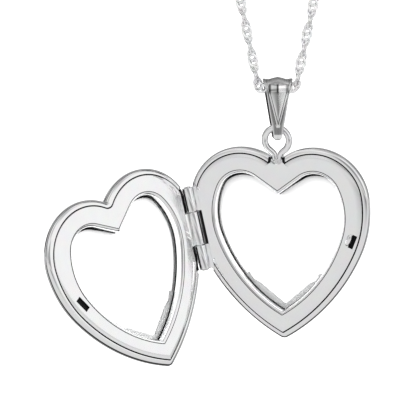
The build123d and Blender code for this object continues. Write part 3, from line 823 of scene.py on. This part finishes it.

# Painted shadow: near-black sheets are laid in the seam between each rim and its frame, beside the
# hinge, along the windows, under the pierced slots and at the eyelet's legs, where shade falls.
seam_dark, nodes, links, shadow_surface = new_material(
    "dark seam", {"Roughness": 0.6, "Specular IOR Level": 0.05},
)
# The painted shadow's near-black, varied a little at random.
shadow_tone = shaded(
    nodes, links, grain(nodes, links, 600), (0.0, 0.001), (1.0, 0.012, 0.012, 0.013),
)
links.new(shadow_tone, shadow_surface.inputs["Base Color"])
for half_name, place, side in halves:
    seam_bm = bmesh.new()
    outlines = []
    for inset, depth in (
        (RIM_WIDTH - 0.02, 0.20), (RIM_WIDTH - 0.02, 0.28), (FRAME_EDGE + 0.02, 0.28),
        (FRAME_EDGE + 0.02, 0.20), (RIM_WIDTH - 0.02, 0.20),
    ):
        ring = heart(**RIM, inset=inset)
        ring = seated(ring) if half_name == "back" else ring
        outlines.append(lay(place, side, clear_hinge(ring, FRAME_NOTCH + 0.01), depth))
    loft(seam_bm, outlines)
    # Painted shadow in the gaps beside the hinge knuckles.
    gaps = ((0.0, 3.30),) if half_name == "back" else ((3.0, 2.44), (-3.0, 2.44))
    for centre, length in gaps:
        rounded_bar(
            seam_bm, place @ hinge_place, (0.36, length, 0.10), (0.80, centre, side * 0.27), 0.02,
        )
    # Painted shadow lines round each window: a hairline at its edge and a band under the lip, wider
    # towards the lobe tops.
    for inset, spread, depth in (
        (-0.035, 0.0, FRAME_TOP - 0.004), (LIP_WIDTH + 0.01, 0.24, LIP_DEPTH - 0.1),
    ):
        near, far = heart(**WINDOW, inset=inset), []
        for point, inner in zip(near, heart(**WINDOW, inset=inset + 0.07)):
            high = max(0.0, min(1.0, (point.y + 2.6) / 1.6))
            far.append(inner + Vector((0, -spread * high)))
        loft(seam_bm, [
            lay(place, side, near, depth), lay(place, side, near, depth + 0.03),
            lay(place, side, far, depth + 0.03), lay(place, side, far, depth),
            lay(place, side, near, depth),
        ])
    # Painted shadow under the pierced catch slot.
    shift, width, length = (0.44, 0.60, 1.50) if half_name == "back" else (0.0, 0.72, 1.74)
    rounded_bar(
        seam_bm, place @ CATCH, (width, length, 0.06), (shift, 0, side * (under + 0.04)), 0.02,
    )
    # Painted shadow at the eyelet's legs.
    if half_name == "back":
        for way in (-1, 1):
            rounded_bar(
                seam_bm, place @ shifted(way * 0.74, 0.20, -0.21) @ turned("Z", way * 12),
                (0.30, 0.58, 0.22), (0, 0, 0), 0.04,
            )
    settle(half_name + "_seam", seam_bm, seam_dark, half_name, "silver")

# The catch is a dome pushed up beside a pierced slit, and the cover has a pierced slot.
for half_name, place, centre, width, length in (
    ("back", back_place, 0.44, 0.52, 1.42), ("cover", cover_place, 0.0, 0.62, 1.62),
):
    punch_bm = bmesh.new()
    bmesh.ops.create_cube(
        punch_bm, size=1.0,
        matrix=place @ CATCH @ shifted(centre, 0, 0)
        @ Matrix.Diagonal((width * MM, length * MM, 1.6 * MM, 1)),
    )
    punch = placed("punch", as_mesh(punch_bm, "punch"))
    pierced = frames[half_name]
    cut = pierced.modifiers.new("pierced", "BOOLEAN")
    cut.object = punch
    cut.solver = "EXACT"
    bpy.context.view_layer.update()
    cut_through = pierced.evaluated_get(bpy.context.evaluated_depsgraph_get())
    shaped = bpy.data.meshes.new_from_object(cut_through)
    pierced.modifiers.clear()
    pierced.data = shaped
    bpy.data.objects.remove(punch)

catch_bm = bmesh.new()
bmesh.ops.create_uvsphere(
    catch_bm, u_segments=40, v_segments=24, radius=1.0,
    matrix=back_place @ CATCH @ Matrix.Diagonal((0.27 * MM, 0.66 * MM, 0.25 * MM, 1)),
)
settle("catch_dome", catch_bm, silver("catch silver"), "back", "silver")

# ---------------------------------------------------------------- retaining rings
# Clear plastic rings cut to drop in behind each frame, over the picture. Across the foot the
# ring is cut to a stepped V.
V_STEPS = ((0, -14.72), (2.6, -12.6), (3.3, -12.25), (3.8, -11.45), (6.0, -14.0))
RING_TOP, RING_GAUGE = LIP_DEPTH + 0.02, 0.25


def v_footed(points):
    """Fills the foot of an outline up to the stepped V."""
    return [
        Vector((point.x, max(point.y, along(abs(point.x), *V_STEPS)))) if point.y < -10 else point
        for point in points
    ]


clear, nodes, links, plastic = new_material("clear plastic", {
    "Base Color": (0.98, 0.99, 0.99, 1), "Transmission Weight": 1.0, "IOR": 1.49, "Alpha": 0.60,
})
haze = mapped(nodes, links, grain(nodes, links, 1500), onto=(0.02, 0.08))
links.new(haze, plastic.inputs["Roughness"])
for half_name, place, side in halves:
    retainer_bm = bmesh.new()
    outer = heart(**WINDOW, inset=-0.6)
    inner = v_footed(heart(**WINDOW, inset=LIP_WIDTH + 0.08))
    eased = v_footed(heart(**WINDOW, inset=LIP_WIDTH + 0.05))
    foot = RING_TOP + RING_GAUGE
    loft(retainer_bm, [
        lay(place, side, outer, RING_TOP), lay(place, side, outer, foot),
        lay(place, side, inner, foot), lay(place, side, inner, RING_TOP + 0.04),
        lay(place, side, eased, RING_TOP), lay(place, side, outer, RING_TOP),
    ])
    settle(
        half_name + "_clear_ring", retainer_bm, clear, half_name, "clear_plastic",
        half_name + "_retainer", smooth=20,
    )

# ---------------------------------------------------------------- picture cards
# Blank white card, cut to the window, where the owner's pictures go.
card, nodes, links, paper = new_material("white card", {"Roughness": 0.75})
fibre = grain(nodes, links, 4000, detail=4.0)
white = shaded(nodes, links, fibre, (0.0, 0.955), (1.0, 0.985))
links.new(white, paper.inputs["Base Color"])
bumped(nodes, links, paper, fibre, 0.000004)
for half_name, place, side in halves:
    node = frame["nodes"][half_name + "_picture_card"]
    node.data.materials.clear()
    node.data.materials.append(card)

# ---------------------------------------------------------------- hinge
# Knuckles rolled from the edge of each leaf and drilled for the pin. The leaves are soldered
# under the frames, and the pin is peened over at both ends.
KNUCKLE_RADIUS, KNUCKLE_BORE, KNUCKLE_ROUND = 0.55, 0.30, 0.07
END_KNUCKLE, MIDDLE_KNUCKLE, KNUCKLE_GAP = 2.50, 3.40, 0.05
HINGE_HALF = MIDDLE_KNUCKLE / 2 + KNUCKLE_GAP + END_KNUCKLE
PIN_RADIUS = 0.27
LEAF_TOP, LEAF_FOOT, LEAF_GAUGE, LEAF_START, LEAF_REACH = 0.04, 0.58, 0.24, 0.98, 1.90


def turned_profile(bm, place, profile, steps=44):
    """Spins a profile of (radius, height) points round the place's y axis, in mm."""
    verts, edges = closed_loop(
        bm, [place @ (Vector((radius, height, 0)) * MM) for radius, height in profile],
    )
    bmesh.ops.spin(
        bm, geom=verts + edges, cent=place.translation, axis=place.to_3x3() @ Vector((0, 1, 0)),
        angle=2 * pi, steps=steps, use_merge=True,
    )


hinge_silver = silver("hinge silver", roughness=0.05)
end_centre = MIDDLE_KNUCKLE / 2 + KNUCKLE_GAP + END_KNUCKLE / 2
knuckles = {
    "back": ((end_centre, END_KNUCKLE), (-end_centre, END_KNUCKLE)),
    "cover": ((0, MIDDLE_KNUCKLE),),
}
for half_name, place, side in halves:
    pin_line = place @ hinge_place
    leaf_bm = bmesh.new()
    middle = side * (LEAF_TOP + LEAF_FOOT) / 2
    rounded_bar(
        leaf_bm, pin_line, (LEAF_REACH - LEAF_START, 2 * HINGE_HALF - 0.1, LEAF_GAUGE),
        ((LEAF_REACH + LEAF_START) / 2, 0, side * (LEAF_FOOT - LEAF_GAUGE / 2)), 0.03,
    )
    for centre, length in knuckles[half_name]:
        rounded_bar(
            leaf_bm, pin_line, (0.62, length, LEAF_FOOT - LEAF_TOP), (0.69, centre, middle), 0.05,
        )
        low, high = centre - length / 2, centre + length / 2
        profile = [(KNUCKLE_BORE, high), (KNUCKLE_BORE, low)]
        for end, way in ((low, 1), (high, -1)):
            bend = [
                (
                    KNUCKLE_RADIUS - KNUCKLE_ROUND * (1 - sin(radians(18 * n))),
                    end + way * KNUCKLE_ROUND * (1 - cos(radians(18 * n))),
                )
                for n in range(6)
            ]
            profile += bend if way > 0 else bend[::-1]
        turned_profile(leaf_bm, pin_line, profile)
    settle(
        half_name + "_hinge", leaf_bm, hinge_silver, half_name, "silver", half_name + "_hinge_leaf",
    )

pin_bm = bmesh.new()
head = HINGE_HALF + 0.12
pin_profile = [
    (0.004, -head), (0.28, -head), (0.36, -head + 0.04), (0.37, -head + 0.09),
    (PIN_RADIUS, -head + 0.10),
]
pin_profile += [(radius, -height) for radius, height in reversed(pin_profile)]
turned_profile(pin_bm, back_place @ hinge_place, pin_profile, steps=32)
settle("silver_hinge_pin", pin_bm, hinge_silver, "back", "silver", "hinge_pin")

# ---------------------------------------------------------------- eyelet
# Silver wire of 0.67 mm bent to a ring through the bail. Its two legs close in and go down
# into the cleft of the back shell, where a rough pool of solder fills between them.
EYE_WIRE, EYE_RADIUS, EYE_HEIGHT, EYE_PLANE = 0.335, 1.28, 2.17, -0.50
EYE_OPENING, EYE_TUCK, EYE_STEPS = -52.0, 8.0, 30
eye_side = [(0.30, -0.20), (0.30, 0.35), (0.33, 0.72), (0.50, 0.95)]
eye_path = [Vector(point) for point in eye_side]
eye_right, eye_left = EYE_OPENING + EYE_TUCK, 180 - EYE_OPENING - EYE_TUCK
for step in range(EYE_STEPS + 1):
    turn = eye_right + (eye_left - eye_right) * step / EYE_STEPS
    eye_path.append(polar((0, EYE_HEIGHT), EYE_RADIUS, turn))
eye_path += [Vector((-x, y)) for x, y in reversed(eye_side)]
eye_points = [back_place @ (Vector((spot.x, spot.y, EYE_PLANE)) * MM) for spot in eye_path]
eye_bm = bmesh.new()
eye_bm.from_mesh(traced("eye line", eye_points, wire=EYE_WIRE * MM, round_steps=6, steps=4))
settle("silver_eyelet", eye_bm, silver("eyelet silver"), "back", "silver", "eyelet", smooth=60)

solder_bm = bmesh.new()
bmesh.ops.create_icosphere(solder_bm, subdivisions=5, radius=1.0)
SOLDER_SIZE, SOLDER_PLACE = Vector((0.50, 0.30, 0.26)), Vector((0, 0.10, -0.34))
for vert in solder_bm.verts:
    swell = 1 + 0.16 * noise.noise(vert.co * 3.1) + 0.08 * noise.noise(vert.co * 7.3)
    vert.co = back_place @ ((SOLDER_PLACE + SOLDER_SIZE * vert.co * swell) * MM)
settle(
    "eyelet_solder", solder_bm,
    silver("solder", (0.80, 0.80, 0.80), 0.12, wave=0.00008, wave_scale=3600), "back", "silver",
)

# ---------------------------------------------------------------- floor, light and camera
# A floor that looks white but reflects grey, with a dark strip beneath the locket, and a white
# studio round it with dark flags, so that polished edges read. A long lens looks from a little
# above.
FLOOR_LEVEL = -0.09
floor_bm = bmesh.new()
bmesh.ops.create_grid(
    floor_bm, x_segments=1, y_segments=1, size=8.0,
    matrix=Matrix.Translation((0, 0, FLOOR_LEVEL)),
)
floor_mesh = as_mesh(floor_bm, "floor")
pale, nodes, links, shine = new_material("pale floor", {
    "Roughness": 0.9, "Specular IOR Level": 0.0, "Emission Color": (1, 1, 1, 1),
})
rays = nodes.new("ShaderNodeLightPath")
links.new(rays.outputs["Is Camera Ray"], shine.inputs["Emission Strength"])
where = nodes.new("ShaderNodeTexCoord")
distance = nodes.new("ShaderNodeVectorMath")
distance.operation = "DISTANCE"
distance.inputs[1].default_value = (0.07, -0.52, FLOOR_LEVEL)
links.new(where.outputs["Object"], distance.inputs[0])
shade = shaded(nodes, links, distance.outputs["Value"], (0.08, 0.085), (0.36, 0.30))
parts = nodes.new("ShaderNodeSeparateXYZ")
links.new(where.outputs["Object"], parts.inputs[0])
strip = shaded(
    nodes, links, mapped(nodes, links, parts.outputs["Y"], (-0.10, 0.40)),
    (0.168, 1.0), (0.182, 0.05), (0.275, 0.05), (0.31, 0.55), (0.85, 0.9),
)
links.new(toned(nodes, links, shade, 1.0, strip, "MULTIPLY"), shine.inputs["Base Color"])
floor_mesh.materials.append(pale)
floor = placed("floor", floor_mesh)

world = bpy.data.worlds.new("studio")
world.use_nodes = True
bpy.context.scene.world = world
nodes, links = world.node_tree.nodes, world.node_tree.links
around = nodes.new("ShaderNodeTexCoord")
parts = nodes.new("ShaderNodeSeparateXYZ")
links.new(around.outputs["Generated"], parts.inputs[0])
studio = shaded(
    nodes, links, mapped(nodes, links, parts.outputs["Y"], (-1.0, 1.0)),
    (0.0, 0.50, 0.50, 0.51), (0.045, 0.55), (0.08, 0.97), (0.47, 1.0), (0.495, 0.04), (0.56, 0.03),
    (0.59, 0.75), (0.72, 0.85), (0.745, 0.04), (0.82, 0.05), (0.85, 0.65), (1.0, 0.9),
)
drift = nodes.new("ShaderNodeTexNoise")
drift.inputs["Scale"].default_value = 1.6
drift.inputs["Detail"].default_value = 0.0
links.new(around.outputs["Generated"], drift.inputs["Vector"])
drift_level = mapped(nodes, links, drift.outputs["Fac"], (0.35, 0.60), (0.55, 1.0))
seen = toned(nodes, links, studio, 1.0, drift_level, "MULTIPLY")
sight = nodes.new("ShaderNodeLightPath")
DIFFUSE_LIGHT = 2.4
seen = toned(nodes, links, seen, sight.outputs["Is Diffuse Ray"], DIFFUSE_LIGHT)
seen = toned(nodes, links, seen, sight.outputs["Is Camera Ray"], 1.0)
links.new(seen, nodes["Background"].inputs["Color"])

LAMP_TARGET = Vector((-0.007, 0, -0.012))
for lamp_name, spot, size, power in (
    ("key", (-0.35, -0.45, 0.45), 0.4, 1.2), ("fill", (0.5, -0.4, 0.15), 0.4, 0.8),
):
    lamp = bpy.data.lights.new(lamp_name, "AREA")
    lamp.size = size
    lamp.energy = power
    holder = placed(lamp_name, lamp)
    holder.location = spot
    holder.rotation_euler = (LAMP_TARGET - Vector(spot)).to_track_quat("-Z", "Y").to_euler()
    holder.visible_glossy = False

camera = bpy.data.cameras.new("camera")
camera.sensor_width = 36.0
camera.lens = 302.9
camera.clip_start = 0.01
viewer = placed("camera", camera)
viewer.location = Vector((-6.92, -349.52, 24.74)) * MM
viewer.rotation_euler = (radians(84), 0, 0)
bpy.context.scene.camera = viewer
bpy.context.scene.view_settings.view_transform = "Standard"
